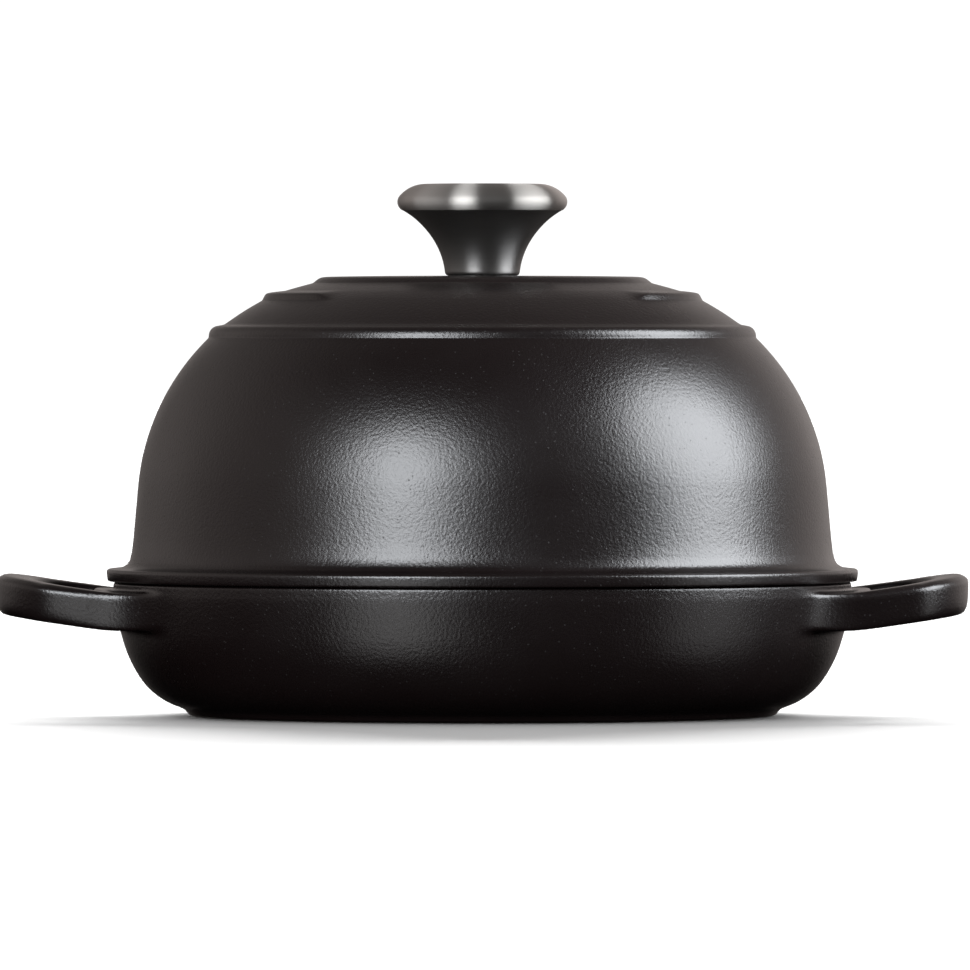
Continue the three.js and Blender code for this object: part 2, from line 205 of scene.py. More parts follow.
# %% [markdown]
# Two soft boxes make the big soft patches on the dome: one in front and to the left, one at the right.
# Enamel throws back about a twentieth of what falls on it and steel more than half, so light that is
# right for one is wrong for the other. A photographer would shade the knob with a small card. Here each
# box is hung twice, bright for the enamel and weak for the steel, and light linking decides which
# pieces it falls on. Two weak boxes below the table stand for the light that a table throws back up at
# the belly, and two more fill in what the knob sees of the room in front and at the left.

# %% Soft boxes
POT_MIDDLE = Vector((0, 0, 0.09))
COOL = (0.93, 0.96, 1.0)
NEUTRAL = (1.0, 1.0, 1.0)
enamel_light = bpy.data.collections.new("lit_for_enamel")
steel_light = bpy.data.collections.new("lit_for_steel")


def hang(name, lamp, bearing, rise, distance, lit):
    """Hangs a lamp at a bearing in degrees to the right of the camera, and a rise above level."""
    box = bpy.data.objects.new(name, lamp)
    b, r = math.radians(bearing), math.radians(rise)
    away = Vector((math.sin(b) * math.cos(r), -math.cos(b) * math.cos(r), math.sin(r)))
    box.location = POT_MIDDLE + away * distance
    box.rotation_euler = (-away).to_track_quat("-Z", "Y").to_euler()
    box.visible_camera = False
    box.light_linking.receiver_collection = lit
    scene.collection.objects.link(box)
    print(name, "at", [round(x, 2) for x in box.location], "with strength", lamp.energy)


def soft_box(name, bearing, rise, distance, size, watts, lit, tint):
    """A round soft box that lights one collection of pieces. Its distance and size are in metres."""
    lamp = bpy.data.lights.new(name, "AREA")
    lamp.shape = "ELLIPSE"
    lamp.size, lamp.size_y = size
    lamp.energy = watts
    lamp.color = tint
    hang(name, lamp, bearing, rise, distance, lit)


soft_box("left_for_enamel", -26.5, 17, 1.4, (0.80, 0.90), 27.5, enamel_light, COOL)
soft_box("right_for_enamel", 79.5, 23.5, 1.2, (0.97, 1.08), 37.5, enamel_light, COOL)
soft_box("left_bounce", -27, -22, 1.2, (0.6, 0.6), 1.8, enamel_light, NEUTRAL)
soft_box("right_bounce", 75, -20, 1.2, (0.6, 0.5), 0.65, enamel_light, NEUTRAL)
soft_box("left_for_steel", -26.5, 18, 1.4, (0.86, 0.93), 12, steel_light, NEUTRAL)
soft_box("right_for_steel", 76, 22, 1.2, (1.4, 0.95), 12.5, steel_light, NEUTRAL)
soft_box("front_for_steel", 15, 30, 1.6, (1.4, 1.2), 1.2, steel_light, NEUTRAL)
soft_box("side_for_steel", -78, 8, 1.3, (1.5, 1.2), 2.4, steel_light, NEUTRAL)

# %% [markdown]
# The shadow lies in front of the pot and hardly shows beside it, so the paper gets most of its light
# from a bright wall low down behind. A sun lamp with a very wide disc is such a wall, and it lights the
# paper evenly however far it runs.

# %% Light on the paper
WALL_RISE = 6.5  # degrees
WALL_WIDTH = 57.0  # degrees across
WALL_STRENGTH = 21
WALL_DISTANCE = 3.0

paper_light = bpy.data.collections.new("lit_for_paper")
paper_light.objects.link(floor)
wall = bpy.data.lights.new("bright_wall", "SUN")
wall.angle = math.radians(WALL_WIDTH)
wall.energy = WALL_STRENGTH
hang("bright_wall", wall, 180, WALL_RISE, WALL_DISTANCE, paper_light)

# %% [markdown]
# ## Drawing and turning
#
# Almost everything on this pot was turned or cast round, so one habit serves for most pieces: draw half
# of the outline in the XZ plane, in millimetres, and spin it round Z. The line is pulled from corner to
# corner with an extruded vertex, arcs are a vertex spun about their centre, and each corner carries the
# rounding it will get from a vertex bevel. Typing out every vertex of the finished surface would give
# the same shape, but nobody could read or change it.

# %% Tools for outlines
MM = 0.001
CORNER_STEPS = 2
WELD = 0.001  # points nearer than this become one


def start_outline():
    """An empty outline whose corners can each carry a rounding."""
    bm = bmesh.new()
    bm.verts.layers.float.new("rounding")
    return bm


def draw(bm, tip, *corners):
    """Pulls the line's end through (radius, height, rounding) corners, and returns its new end."""
    rounding = bm.verts.layers.float["rounding"]
    for radius, height, soft in corners:
        if tip is None:
            tip = bmesh.ops.create_vert(bm, co=(radius, 0, height))["vert"][0]
        else:
            tip = bmesh.ops.extrude_vert_indiv(bm, verts=[tip])["verts"][0]
        tip.co = (radius, 0, height)
        tip[rounding] = soft
    return tip


def swing(bm, tip, centre, degrees, steps):
    """Swings the line's end round a centre. Positive degrees turn it from up towards outwards."""
    middle = (centre[0], 0, centre[1])
    swept = bmesh.ops.spin(
        bm, geom=[tip], cent=middle, axis=(0, 1, 0), angle=math.radians(degrees), steps=steps
    )
    return swept["geom_last"][0]


def round_corners(bm, steps=CORNER_STEPS):
    """Gives every corner its rounding: the distance that the curve starts before the corner."""
    rounding = bm.verts.layers.float["rounding"]
    corners = [(v, v[rounding]) for v in bm.verts if v[rounding] > 0]
    for corner, setback in corners:
        bmesh.ops.bevel(
            bm,
            geom=[corner],
            offset=setback,
            offset_type="OFFSET",
            affect="VERTICES",
            segments=steps,
            profile=0.5,
            material=-1,
        )
    for v in bm.verts:
        v[rounding] = 0


def turn(bm, columns, first=0.0):
    """Spins the outline into a closed body of so many columns, the first at an angle in degrees."""
    to_first = Matrix.Rotation(math.radians(first), 3, "Z")
    bmesh.ops.rotate(bm, verts=bm.verts, cent=(0, 0, 0), matrix=to_first)
    bmesh.ops.spin(
        bm,
        geom=bm.verts[:] + bm.edges[:],
        cent=(0, 0, 0),
        axis=(0, 0, 1),
        angle=math.tau,
        steps=columns,
        use_merge=True,
    )
    bmesh.ops.remove_doubles(bm, verts=bm.verts, dist=WELD)
    bmesh.ops.recalc_face_normals(bm, faces=bm.faces)


print("outlines are drawn in millimetres, at", MM, "m each")

# %% [markdown]
# A smoothed surface lies a little inside the cage that it is made from. Round a circle of n columns
# that loss is known exactly, so the cage is widened by it. The finished mesh is scaled to metres and
# smoothed by a Subdivision Surface.

# %% Tools for finished pieces


def widen(bm, columns):
    """Makes up for what smoothing takes off a turned cage."""
    kept = (2 + math.cos(math.tau / columns)) / 3
    bmesh.ops.scale(bm, vec=(1 / kept, 1 / kept, 1), verts=bm.verts)


def finished(bm, name, smoothing):
    """Hands the drawing to a new object, in metres, with a smooth surface."""
    bmesh.ops.scale(bm, vec=(MM, MM, MM), verts=bm.verts)
    open_edges = sum(not e.is_manifold for e in bm.edges)
    mesh = bpy.data.meshes.new(name)
    bm.to_mesh(mesh)
    bm.free()
    mesh.shade_smooth()
    piece = bpy.data.objects.new(name, mesh)
    scene.collection.objects.link(piece)
    if smoothing:
        smooth = piece.modifiers.new("smooth", "SUBSURF")
        smooth.levels = smooth.render_levels = smoothing
    print(name, "cage:", len(mesh.polygons), "faces,", open_edges, "open edges")
    return piece


print("smoothing 60 columns keeps", round((2 + math.cos(math.tau / 60)) / 3, 5), "of the radius")

# %% [markdown]
# ## The base
#
# The pan is one iron casting, about 4 mm thick, with the handles growing out of its wall in a soft
# fillet. Uniting a turned pan with two separate handles would leave a hard seam, so the handles are
# pulled out of the pan's own faces and the whole cage is smoothed at once, which is how a cast fillet
# looks. The columns are 6 degrees wide and set half a column off the X axis, so that each handle is the
# same on both sides of it.
#
# First the outline, from the middle of the underside, over the foot, up the belly and the band of the
# rim, and back down the inside to the floor.

# %% Outline of the pan
BASE_COLUMNS = 60
RIM_RADIUS = 125.3
RIM_TOP = 46.0
INNER_RADIUS = 120.0
BAND_FOOT = 41.2  # height where the leaning wall turns into the steeper band of the rim
HANDLE_TOP = 42.6  # row of the band where the handle's upper face leaves it
LOWER_BELLY, LOWER_RADIUS = (95.57, 26.97), 25.1  # centre and radius of the curve above the foot
UPPER_BELLY = (80.4, 37.2)  # centre of the longer curve that follows it
BELLY_ANGLES = (75.0, 34.0, 13.6)  # degrees below level where the two curves start, meet and end

base_bm = start_outline()
start = math.radians(BELLY_ANGLES[0])
tip = draw(
    base_bm,
    None,
    (0, 0.8, 0),
    (40, 0.8, 0),
    (78.7, 0.8, 0.5),
    (79.9, 0, 0.5),
    (90, 0, 0),
    (99.9, 0, 0.8),
    (100.5, 1.9, 0.9),
    (LOWER_BELLY[0] + LOWER_RADIUS * math.cos(start), LOWER_BELLY[1] - LOWER_RADIUS * math.sin(start), 0),
)
tip = swing(base_bm, tip, LOWER_BELLY, BELLY_ANGLES[1] - BELLY_ANGLES[0], 5)
tip = swing(base_bm, tip, UPPER_BELLY, BELLY_ANGLES[2] - BELLY_ANGLES[1], 3)
print("belly ends at", [round(x, 2) for x in tip.co])

# %% [markdown]
# Above the belly the wall leans out to the band of the rim, and gets a little steeper on the way. Its
# rows are spaced so that a handle can grow out of them later: one row for each row of the handle's
# side.

# %% Outline of the wall, the rim and the inside
WALL_ROWS = 5
WALL_LEAN = math.radians(7.6)  # just under the band

belly_end = tip.co.copy()
lean = math.tan(math.radians(BELLY_ANGLES[2]))
for row in range(1, WALL_ROWS + 1):
    share = row / WALL_ROWS
    rise = (BAND_FOOT - belly_end.z) * share
    run = rise * (lean + (math.tan(WALL_LEAN) - lean) * share / 2)
    tip = draw(base_bm, tip, (belly_end.x + run, belly_end.z + rise, 0))
lowest_row = belly_end.z + (BAND_FOOT - belly_end.z) / WALL_ROWS
print("wall meets the band at", [round(x, 2) for x in tip.co])
tip = draw(
    base_bm,
    tip,
    (RIM_RADIUS - 0.03, HANDLE_TOP, 0),
    (RIM_RADIUS + 0.15, RIM_TOP - 0.9, 0.3),
    (RIM_RADIUS - 1.5, RIM_TOP, 0.4),
    (INNER_RADIUS, RIM_TOP, 1.1),
    (INNER_RADIUS, 41.0, 0),
    (INNER_RADIUS, UPPER_BELLY[1], 0),
)
tip = swing(base_bm, tip, UPPER_BELLY, BELLY_ANGLES[1], 4)
tip = swing(base_bm, tip, LOWER_BELLY, 90 - BELLY_ANGLES[1], 6)
print("pan outline ends at", [round(x, 2) for x in tip.co])

# %% [markdown]
# Low rings on the floor keep the loaf's crust off the hot iron. They are drawn as four corners each.

# %% Rings on the floor of the pan
FLOOR_RINGS = (80, 60, 40, 20)
RING_HEIGHT = 1.2
RING_FOOT = 2.7  # half of a ring's width at the floor
RING_CREST = 1.1  # and at its top

floor_level = tip.co.z
for middle in FLOOR_RINGS:
    tip = draw(
        base_bm,
        tip,
        (middle + RING_FOOT, floor_level, 0.8),
        (middle + RING_CREST, floor_level + RING_HEIGHT, 0.7),
        (middle - RING_CREST, floor_level + RING_HEIGHT, 0.7),
        (middle - RING_FOOT, floor_level, 0.8),
    )
draw(base_bm, tip, (0, floor_level, 0))
round_corners(base_bm, 1)
turn(base_bm, BASE_COLUMNS, 180 / BASE_COLUMNS)
widen(base_bm, BASE_COLUMNS)
print("pan cage:", len(base_bm.faces), "faces")

# %% [markdown]
# Each handle is a loop as thick as a finger, tilted a little up. In plan it is a rounded rectangle, and
# so is the finger hole inside it. One function gives a point of either curve; another lifts it into the
# handle's tilted plane.

# %% Curves of a handle
HANDLE_TILT = math.radians(8)
HANDLE_MIDDLE = 36.1  # height of the handle's middle plane at the rim
HANDLE_LEVELS = (-6.45, -4.6, -1.6, 2.8, 4.6, 6.45)  # heights of the cage's rows above that plane
OUTER_SOFTNESS = (0.8, 0.15, 0, 0, 0.05, 1.6)  # how far a row is drawn in to round the outer edges
INNER_SOFTNESS = (1.0, 0.2, 0, 0, 0.2, 1.0)  # and the edges of the finger hole
ARM_FULLNESS = 0.4  # share of the outer softness at the root of an arm
TIP_FULLNESS = 1.6  # what is added to it at the tip, which is rounder
DRAFT = math.tan(math.radians(10))  # the outer face leans in, so that the casting leaves its mould
SQUARENESS = 2.7
OUTER_LOOP = (41.5, 53.4)  # reach from the rim, and half of the width
FINGER_HOLE = (28.5, 40.5)
ROOT_BEND = (1.0, 1.2)  # how far an arm's outer edge is drawn back and in where it leaves the wall
STRAIGHTENED = 1.6  # how far the outer curve is drawn in to make an arm nearly straight
ARM_REACH = 24.4  # where the arm ends and the bend at the tip begins
SWELL = 0.0055  # share of its thickness that the upper half gains for each millimetre towards the tip
SWELL_START = 19.0
WEB_RADIUS = 133.1  # the finger hole's near side, a band that stiffens the rim


def loop_point(reach, half_width, angle):
    """A point in plan on a rounded rectangle. The angle runs from -90 at one arm to 90 at the other."""
    a = math.radians(angle)
    out = max(math.cos(a), 0) ** (2 / SQUARENESS)
    across = math.copysign(abs(math.sin(a)) ** (2 / SQUARENESS), a)
    return Vector((RIM_RADIUS + reach * out, half_width * across))


def in_handle(plan, level):
    """Lifts a point in plan to a row of the handle's tilted cage."""
    out, up = plan[0] - RIM_RADIUS, HANDLE_LEVELS[level]
    if up > 0:
        up *= 1 + SWELL * max(out - SWELL_START, 0)
    return Vector(
        (
            RIM_RADIUS + out * math.cos(HANDLE_TILT) - up * math.sin(HANDLE_TILT),
            plan[1],
            HANDLE_MIDDLE + out * math.sin(HANDLE_TILT) + up * math.cos(HANDLE_TILT),
        )
    )


def arm_point(share, angle, level):
    """A point of the handle's cage, at a share of the way from the finger hole to the outer curve."""
    soft = INNER_SOFTNESS[level]
    inner = loop_point(FINGER_HOLE[0] + soft, FINGER_HOLE[1] + soft, angle)
    to_tip = math.sqrt(max(math.cos(math.radians(angle)), 0))
    soft = OUTER_SOFTNESS[level] * (ARM_FULLNESS + TIP_FULLNESS * to_tip)
    soft += (HANDLE_LEVELS[-1] - HANDLE_LEVELS[level]) * DRAFT
    outer = loop_point(OUTER_LOOP[0] - soft, OUTER_LOOP[1] - soft, angle)
    along = min((outer.x - RIM_RADIUS) / ARM_REACH, 1)
    outer.y -= math.copysign(STRAIGHTENED * math.sin(math.pi * along), angle)
    if abs(angle) == 90:
        outer -= Vector((ROOT_BEND[0], math.copysign(ROOT_BEND[1], angle)))
    return in_handle(inner.lerp(outer, share), level)


print("handle tip at", [round(x, 1) for x in arm_point(1, 0, 3)])

# %% [markdown]
# The handle starts as a patch of the wall. The patch is extruded into a web along the rim, the web's
# two end faces are extruded step by step along the loop, and the two arms are bridged at the tip. Each
# new vertex remembers which row it is in and how far it lies across the arm, so it can be sent to its
# place.

# %% Tools for a handle
ARM_INNER, ARM_OUTER = 21, 27  # degrees from the handle's axis to the two edges of an arm's root
COLUMN = 360 // BASE_COLUMNS
ARM_COLUMNS = (ARM_OUTER - ARM_INNER) // COLUMN
LOOP_STEP = 7.5  # degrees


def pull(bm, faces):
    """Extrudes a patch of faces and leaves no face behind it. Returns the new vertices and faces."""
    made = bmesh.ops.extrude_face_region(bm, geom=faces)["geom"]
    bmesh.ops.delete(bm, geom=faces, context="FACES")
    verts = [g for g in made if isinstance(g, bmesh.types.BMVert)]
    return verts, [g for g in made if isinstance(g, bmesh.types.BMFace)]


def bearing(point):
    """Degrees from the X axis."""
    return math.degrees(math.atan2(point.y, point.x))


def grow_web(bm):
    """Pulls the web out of the wall on the +X side, and returns its outer faces."""
    patch = []
    for face in bm.faces:
        middle = face.calc_center_median()
        if middle.xy.length > INNER_RADIUS + 1.5 and abs(bearing(middle)) < ARM_OUTER:
            if lowest_row < middle.z < HANDLE_TOP:
                patch.append(face)
    verts, faces = pull(bm, patch)
    rows = sorted({round(v.co.z, 1) for v in verts})
    level, across = bm.verts.layers.int["level"], bm.verts.layers.int["across"]
    for v in verts:
        v[level] = rows.index(round(v.co.z, 1))
        angle = round(bearing(v.co))
        if abs(angle) >= ARM_INNER:
            v[across] = (abs(angle) - ARM_INNER) // COLUMN
            v.co = arm_point(v[across] / ARM_COLUMNS, math.copysign(90, angle), v[level])
        else:
            a = math.radians(angle)
            v.co = in_handle((WEB_RADIUS * math.cos(a), WEB_RADIUS * math.sin(a)), v[level])
    print("web rows:", rows)
    return faces


def grow_arm(bm, faces, side):
    """Pulls one arm along the loop, as far as the last step before the tip."""
    level, across = bm.verts.layers.int["level"], bm.verts.layers.int["across"]
    angle = 90 - LOOP_STEP
    while angle > 0:
        verts, faces = pull(bm, faces)
        for v in verts:
            v.co = arm_point(v[across] / ARM_COLUMNS, side * angle, v[level])
        angle -= LOOP_STEP
    return faces


print("handle leaves the wall between", round(lowest_row, 1), "and", HANDLE_TOP)

# %% Grow both handles
base_bm.verts.layers.int.new("level")
base_bm.verts.layers.int.new("across")
half_turn = Matrix.Rotation(math.pi, 3, "Z")
for handle in ("right", "left"):
    web = [(f, f.calc_center_median().y) for f in grow_web(base_bm)]
    ends = []
    for side in (-1, 1):
        arm_root = [f for f, across in web if across * side > FINGER_HOLE[1]]
        ends += grow_arm(base_bm, arm_root, side)
    bmesh.ops.delete(base_bm, geom=ends, context="FACES")
    bmesh.ops.bridge_loops(base_bm, edges=[e for e in base_bm.edges if e.is_boundary])
    bmesh.ops.rotate(base_bm, verts=base_bm.verts, cent=(0, 0, 0), matrix=half_turn)
    print(handle, "handle grown:", len(base_bm.faces), "faces so far")

bmesh.ops.recalc_face_normals(base_bm, faces=base_bm.faces)

# %% [markdown]
# Smoothing would round the handle's upper and lower faces right across. Each of them is inset, so that
# the smoothing stays near their edges and leaves a flat in the middle, with a crisp line of light along
# its rim.

# %% Firm up the handles' edges
EDGE_SUPPORT = 1.9
NEARLY_FLAT = 0.8  # a face counts as flat if its normal is at least so upright

for up in (1, -1):
    flats = [f for f in base_bm.faces if f.normal.z * up > NEARLY_FLAT]
    flats = [f for f in flats if f.calc_center_median().xy.length > RIM_RADIUS + 0.3]
    bmesh.ops.inset_region(
        base_bm, faces=flats, thickness=EDGE_SUPPORT, use_boundary=True, use_even_offset=True
    )
    print("inset", len(flats), "faces on the", "upper" if up > 0 else "lower", "side of the handles")
base = finished(base_bm, "base_casting", 2)

# %% [markdown]
# ## The lid
#
# The lid is a second casting. A flange rests on the pan's rim, and a lip under it drops inside the rim
# and keeps the lid centred. Above the flange the wall leans in a little and then rounds over in one
# long shoulder. The crown carries three steps: a rounded bead at the top of the shoulder, a rib on the
# cone above it, and the edge of the flat top. The outline is closed on itself, because the lid is
# hollow and has a hole for the knob's screw.

# %% Outline of the lid
LID_COLUMNS = 144
FLANGE_UNDER = 46.3
FLANGE_RADIUS = 127.7
FLANGE_TOP = 50.1
FLANGE_EDGE = 48.9  # height where the flange is widest
SHOULDER = (37.32, 71.03)  # centre of the shoulder's curve
BEAD = (89.6, 129.15)  # centre of the bead's curve
LOW_CONE = (29.8, 56.3)  # centre of the cone's curve: above the bead it is very slightly round
RIB_FOOT = (75.2, 140.87)
RIB_INSIDE = (67.0, 144.4)
CROWN_TOP = 149.5
CROWN_UNDER = 143.1
HOLE_RADIUS = 3.4

lid_bm = start_outline()
tip = draw(
    lid_bm,
    None,
    (119.0, FLANGE_UNDER, 0.6),
    (123.5, FLANGE_UNDER, 0),
    (FLANGE_RADIUS - 0.35, FLANGE_UNDER - 0.7, 0.7),
    (FLANGE_RADIUS, FLANGE_EDGE, 0.5),
    (FLANGE_RADIUS - 0.15, FLANGE_TOP, 1.0),
    (119.4, FLANGE_TOP, 4.0),
    (118.0, 66.8, 0),
    (117.02, 78.0, 0),
)
first_corner = lid_bm.verts[:][0]
tip = swing(lid_bm, tip, SHOULDER, -40.8, 16)
tip = draw(lid_bm, tip, (93.0, 128.75, 0.35), (93.0, 129.15, 0))
tip = swing(lid_bm, tip, BEAD, -86, 7)
tip = draw(lid_bm, tip, (88.1, 132.85, 0.2), (87.35, 133.15, 0))
tip = swing(lid_bm, tip, LOW_CONE, -8.2, 4)
print("lid outline reaches", [round(x, 2) for x in tip.co], "at the rib's foot")

# %% Outline of the rib, the crown and the inside
tip = draw(
    lid_bm,
    tip,
    (74.9, 141.05, 0.2),
    (74.3, 142.2, 0),
    (73.6, 143.6, 0.8),
    (70.2, 144.1, 0),
    (*RIB_INSIDE, 0.4),
    (63.0, 145.6, 0),
    (57.6, 147.0, 0.3),
    (55.2, 149.0, 1.1),
    (52.0, 149.2, 0.6),
    (40.0, 149.4, 0),
    (28.0, 149.5, 0),
    (15.9, CROWN_TOP, 1.0),
    (9.0, CROWN_TOP, 0),
    (HOLE_RADIUS, CROWN_TOP, 0.3),
    (HOLE_RADIUS, CROWN_UNDER, 0.3),
    (10.0, CROWN_UNDER, 0),
    (30.0, CROWN_UNDER, 0),
    (56.5, CROWN_UNDER, 4.0),
    (75.0, 136.4, 4.0),
    (91.06, 124.77, 0),
)
tip = swing(lid_bm, tip, SHOULDER, 40, 14)
tip = draw(
    lid_bm,
    tip,
    (114.2, 64.0, 0),
    (115.4, 50.3, 2.0),
    (115.4, 41.3, 1.0),
    (119.0, 41.3, 1.0),
    (119.0, 43.9, 0),
)
lid_bm.edges.new((tip, first_corner))
round_corners(lid_bm)
print("lid outline:", len(lid_bm.verts), "points")

# %% [markdown]
# The rib doesn't run all the way round: it stops short of the front on either side, with an end that
# slopes down to the cone. The whole rib is turned first. Then, within the opening, its vertices sink to
# a curve that carries the cone's own slope on from below the rib to above it.

# %% Turn the lid and open its rib at the front
RIB_OPENING = 44.5  # degrees to each side of the front
RIB_END = 3.5  # degrees over which an end slopes down
SLOPES = (0.55, 0.3)  # of the cone just below the rib and just above it


def bare_cone(radius):
    """Height of the cone at a radius, as if the rib weren't there."""
    width = RIB_FOOT[0] - RIB_INSIDE[0]
    t = (RIB_FOOT[0] - radius) / width
    ends = RIB_FOOT[1] + (RIB_INSIDE[1] - RIB_FOOT[1]) * t * t * (3 - 2 * t)
    return ends + width * (SLOPES[0] * t * (1 - t) ** 2 - SLOPES[1] * t * t * (1 - t))


turn(lid_bm, LID_COLUMNS)
sunk = 0
for v in lid_bm.verts:
    radius = v.co.xy.length
    bare = bare_cone(radius)
    if RIB_INSIDE[0] < radius < RIB_FOOT[0] and v.co.z > bare:
        from_front = abs(math.degrees(math.atan2(v.co.x, -v.co.y)))
        left = min(max((from_front - RIB_OPENING) / RIB_END, 0), 1)
        v.co.z = bare + (v.co.z - bare) * left
        sunk += left < 1
widen(lid_bm, LID_COLUMNS)
lid = finished(lid_bm, "lid_casting", 1)
print("rib opened by sinking", sunk, "points")

# %% [markdown]
# ## The knob
#
# The knob is pressed and turned from steel: a thin trumpet-shaped stem, and a cap with a thick rounded
# rim that closes its mouth. Both are turned from an outline of a few points and smoothed.

# %% Turn the knob's stem
KNOB_COLUMNS = 64
KNOB_FOOT = CROWN_TOP
MOUTH = 171.7  # height of the line between the stem and the cap

stem_bm = start_outline()
tip = draw(
    stem_bm,
    None,
    (10.9, KNOB_FOOT, 0.2),
    (12.7, KNOB_FOOT, 1.1),
    (12.85, 151.8, 0),
    (13.5, 155.0, 0),
    (14.9, 158.8, 0),
    (17.05, 162.6, 0),
    (20.1, 166.4, 0),
    (23.7, 169.7, 0),
    (27.0, MOUTH, 0.1),
    (25.2, MOUTH, 0.1),
    (22.4, 170.5, 0),
    (18.6, 167.4, 0),
    (15.4, 163.4, 0),
    (13.2, 159.5, 0),
    (11.7, 155.4, 0),
    (11.0, 152.0, 0),
)
stem_bm.edges.new((tip, stem_bm.verts[:][0]))
round_corners(stem_bm)
turn(stem_bm, KNOB_COLUMNS)
widen(stem_bm, KNOB_COLUMNS)
stem = finished(stem_bm, "knob_trumpet", 2)

# %% Turn the knob's cap
CAP_TOP = 180.8
CAP_WALL = 1.8
FLAT_RADIUS = 19.4  # of the cap's flat top
SHOULDER_RADIUS = 11.5  # the cap rounds over in a wide curve
RIM_CURVE = 3.3  # and then in a tight one round its rim
SHOULDER_SWEEP = 49.6  # degrees
RIM_SWEEP = 90.0

shoulder_middle = (FLAT_RADIUS, CAP_TOP - SHOULDER_RADIUS)
sweep = math.radians(SHOULDER_SWEEP)
rim_middle = (
    shoulder_middle[0] + (SHOULDER_RADIUS - RIM_CURVE) * math.sin(sweep),
    shoulder_middle[1] + (SHOULDER_RADIUS - RIM_CURVE) * math.cos(sweep),
)
cap_bm = start_outline()
tip = draw(cap_bm, None, (0, CAP_TOP, 0), (10, CAP_TOP, 0), (FLAT_RADIUS, CAP_TOP, 0))
tip = swing(cap_bm, tip, shoulder_middle, SHOULDER_SWEEP, 5)
tip = swing(cap_bm, tip, rim_middle, RIM_SWEEP, 6)
tip = draw(cap_bm, tip, (27.2, MOUTH, 0.1), (25.6, MOUTH, 0.2), (26.0, 174.0, 0))
tip = draw(cap_bm, tip, (24.9, 176.2, 0), (20.6, CAP_TOP - CAP_WALL, 0), (10, CAP_TOP - CAP_WALL, 0))
draw(cap_bm, tip, (0, CAP_TOP - CAP_WALL, 0))
round_corners(cap_bm)
turn(cap_bm, KNOB_COLUMNS)
widen(cap_bm, KNOB_COLUMNS)
cap = finished(cap_bm, "knob_rim_cap", 2)
print("cap is", round(2 * (rim_middle[0] + RIM_CURVE), 1), "mm wide")

# %% [markdown]
# ## What holds the knob
#
# Out of sight inside the stem sits a threaded bush. A screw comes up through the lid's crown into it,
# with a plain washer against the enamel and a split spring washer under its head, which keeps the joint
# tight while iron and steel grow differently in the oven. These show when the lid is turned over. They
# are small, so a bevel at each edge and plain turning give all the shape they need.

# %% Turn the bush
SMALL_COLUMNS = 48

bush_bm = start_outline()
tip = draw(
    bush_bm,
    None,
    (HOLE_RADIUS, KNOB_FOOT + 0.7, 0),
    (HOLE_RADIUS + 0.7, KNOB_FOOT, 0.1),
    (10.3, KNOB_FOOT, 0.3),
    (10.3, 156.0, 0.2),
    (9.8, 156.5, 0.2),
    (9.8, 158.5, 0.2),
    (10.3, 159.0, 0.2),
    (10.3, 164.3, 0.2),
    (9.3, 165.3, 0.2),
    (HOLE_RADIUS + 0.7, 165.3, 0.1),
    (HOLE_RADIUS, 164.6, 0),
)
bush_bm.edges.new((tip, bush_bm.verts[:][0]))
round_corners(bush_bm)
turn(bush_bm, SMALL_COLUMNS)
bush = finished(bush_bm, "threaded_bush", 0)

# %% [markdown]
# The screw's thread is turned as a row of ridges one pitch apart. A true thread is one spiral, but at
# this size the two can't be told apart, and rings keep the screw a clean closed body.

# %% Turn the screw
HEAD_UNDER = 135.6
HEAD_TOP = 139.4
SCREW_RADIUS = 3.0
THREAD_PITCH = 1.0
THREAD_DEPTH = 0.55
THREAD_START = 144.0
SCREW_TIP = 162.3

screw_bm = start_outline()
tip = draw(
    screw_bm,
    None,
    (0, HEAD_UNDER, 0),
    (4.2, HEAD_UNDER, 0.9),
    (5.6, 136.3, 0.6),
    (6.0, 137.6, 0.5),
    (6.0, HEAD_TOP, 0.15),
    (SCREW_RADIUS, HEAD_TOP, 0.15),
    (SCREW_RADIUS, THREAD_START, 0),
)
crest = THREAD_START
while crest + THREAD_PITCH < SCREW_TIP - 0.8:
    tip = draw(
        screw_bm,
        tip,
        (SCREW_RADIUS - THREAD_DEPTH, crest + 0.42 * THREAD_PITCH, 0),
        (SCREW_RADIUS - THREAD_DEPTH, crest + 0.58 * THREAD_PITCH, 0),
        (SCREW_RADIUS, crest + 0.92 * THREAD_PITCH, 0),
        (SCREW_RADIUS, crest + 1.08 * THREAD_PITCH, 0),
    )
    crest += THREAD_PITCH
draw(screw_bm, tip, (SCREW_RADIUS, SCREW_TIP - 0.6, 0), (2.2, SCREW_TIP, 0.1), (0, SCREW_TIP, 0))
round_corners(screw_bm)
turn(screw_bm, SMALL_COLUMNS)
print("screw has", round((crest - THREAD_START) / THREAD_PITCH), "ridges")

# %% [markdown]
# A cross recess takes the screwdriver. The flat of the head is cut along the sides of the cross, and
# the faces inside it are pushed up into the head and narrowed.

# %% Press the cross into the head
CROSS_HALF_LENGTH = 3.2
CROSS_HALF_WIDTH = 0.7
CROSS_DEPTH = 2.0
CROSS_TAPER = 0.8  # share of its width that the cross keeps at its bottom
FLAT_LIMIT = HEAD_UNDER + 0.01  # faces below this height are the head's flat


def in_cross(point):
    """True if a point of the head's flat lies in the cross."""
    along, across = max(abs(point.x), abs(point.y)), min(abs(point.x), abs(point.y))
    return across < CROSS_HALF_WIDTH and along < CROSS_HALF_LENGTH


